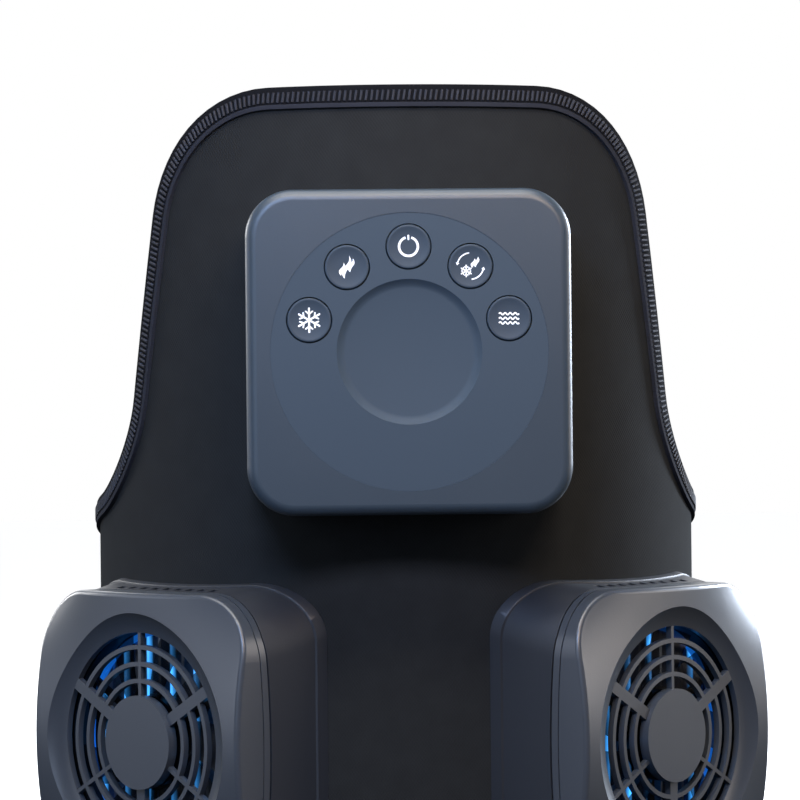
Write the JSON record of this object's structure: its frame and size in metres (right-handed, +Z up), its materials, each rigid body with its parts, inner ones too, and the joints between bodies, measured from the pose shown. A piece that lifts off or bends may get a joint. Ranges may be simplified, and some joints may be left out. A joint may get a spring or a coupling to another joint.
{
  "type": "hot and cold therapy knee wrap",
  "caption": "Neoprene knee wrap with a square button control unit above fan-cooled therapy pods, closed behind the leg by elastic straps.",
  "frame": {"origin": "on the leg's axis, at the level of the bottom hem", "axes": "+Z up along the leg, the front with the control unit faces -Y, +X to the right as seen from the front"},
  "size_m": [0.1864, 0.1809, 0.232],
  "materials": {
    "neoprene": "knit-faced neoprene",
    "lining": "soft knit",
    "binding": "woven tape",
    "webbing": "elastic webbing",
    "hook_and_loop": "nylon hooks and loops",
    "lead_jacket": "satin",
    "pod_cover": "satin",
    "pod_shell": "fine grain",
    "clamp_plastic": "fine grain",
    "plate_metal": "fine sanded",
    "ceramic": "unglazed ceramic",
    "foam": "closed-cell foam",
    "sink_metal": "extruded",
    "light_guide": "frosted, lit blue",
    "fan_plastic": "moulded",
    "motor_steel": "plain",
    "screw_steel": "zinc plated",
    "unit_case": "fine grain",
    "unit_cover": "satin",
    "inlay": "satin",
    "button_cap": "satin, white printed symbol",
    "board": "solder mask",
    "switch_body": "stamped",
    "battery": "shrink sleeve",
    "weight_metal": "sintered",
    "port_shell": "stamped",
    "backing": "fine grain"
  },
  "bodies": {
    "wrap": {"neoprene_panel": "neoprene", "inner_lining": "lining", "edge_binding": "binding", "left_lead": "lead_jacket", "right_lead": "lead_jacket", "strap_anchors": "webbing", "loop_patches": "hook_and_loop", "control_case": "unit_case", "control_cover": "unit_cover", "face_inlay": "inlay", "circuit_board": "board", "key_switches": "switch_body", "battery_pack": "battery", "vibration_motor": "motor_steel", "charge_port": "port_shell", "control_screws": "screw_steel", "backing_plate": "backing", "backing_screws": "screw_steel", "left_fan_cover": "pod_cover", "left_rear_shell": "pod_shell", "left_clamp_frame": "clamp_plastic", "left_pod_screws": "screw_steel", "left_cold_plate": "plate_metal", "left_thermal_tile": "ceramic", "left_foam_frame": "foam", "left_heat_sink": "sink_metal", "left_light_ring": "light_guide", "left_fan_frame": "fan_plastic", "left_fan_screws": "screw_steel", "left_fan_motor": "motor_steel", "right_fan_cover": "pod_cover", "right_rear_shell": "pod_shell", "right_clamp_frame": "clamp_plastic", "right_pod_screws": "screw_steel", "right_cold_plate": "plate_metal", "right_thermal_tile": "ceramic", "right_foam_frame": "foam", "right_heat_sink": "sink_metal", "right_light_ring": "light_guide", "right_fan_frame": "fan_plastic", "right_fan_screws": "screw_steel", "right_fan_motor": "motor_steel"},
    "cold_button": {"cold_button": "button_cap"},
    "heat_button": {"heat_button": "button_cap"},
    "power_button": {"power_button": "button_cap"},
    "contrast_button": {"contrast_button": "button_cap"},
    "vibration_button": {"vibration_button": "button_cap"},
    "left_fan_rotor": {"left_fan_rotor": "fan_plastic"},
    "right_fan_rotor": {"right_fan_rotor": "fan_plastic"},
    "vibration_weight": {"vibration_weight": "weight_metal"},
    "upper_strap": {"upper_strap": "webbing", "upper_hook_tab": "hook_and_loop"},
    "lower_strap": {"lower_strap": "webbing", "lower_hook_tab": "hook_and_loop"}
  },
  "joints": [
    {"name": "cold_press", "type": "slide", "parent": "wrap", "child": "cold_button", "axis": [0, 1, 0], "range_m": [0, 0.0006], "stiffness_N_per_m": 800},
    {"name": "heat_press", "type": "slide", "parent": "wrap", "child": "heat_button", "axis": [0, 1, 0], "range_m": [0, 0.0006], "stiffness_N_per_m": 800},
    {"name": "power_press", "type": "slide", "parent": "wrap", "child": "power_button", "axis": [0, 1, 0], "range_m": [0, 0.0006], "stiffness_N_per_m": 800},
    {"name": "contrast_press", "type": "slide", "parent": "wrap", "child": "contrast_button", "axis": [0, 1, 0], "range_m": [0, 0.0006], "stiffness_N_per_m": 800},
    {"name": "vibration_press", "type": "slide", "parent": "wrap", "child": "vibration_button", "axis": [0, 1, 0], "range_m": [0, 0.0006], "stiffness_N_per_m": 800},
    {"name": "left_fan_spin", "type": "hinge", "parent": "wrap", "child": "left_fan_rotor", "pos_m": [0, 0, 0.071], "axis": [-0.7193, -0.6947, 0], "continuous": true},
    {"name": "right_fan_spin", "type": "hinge", "parent": "wrap", "child": "right_fan_rotor", "pos_m": [0, 0, 0.071], "axis": [0.7193, -0.6947, 0], "continuous": true},
    {"name": "weight_spin", "type": "hinge", "parent": "wrap", "child": "vibration_weight", "pos_m": [0.031, -0.081, 0.1665], "axis": [0, 0, 1], "continuous": true},
    {"name": "upper_strap_open", "type": "hinge", "parent": "wrap", "child": "upper_strap", "pos_m": [-0.07576, 0.03138, 0.086], "axis": [0, 0, 1], "range_deg": [0, 100]},
    {"name": "lower_strap_open", "type": "hinge", "parent": "wrap", "child": "lower_strap", "pos_m": [-0.07576, 0.03138, 0.03], "axis": [0, 0, 1], "range_deg": [0, 100]}
  ]
}
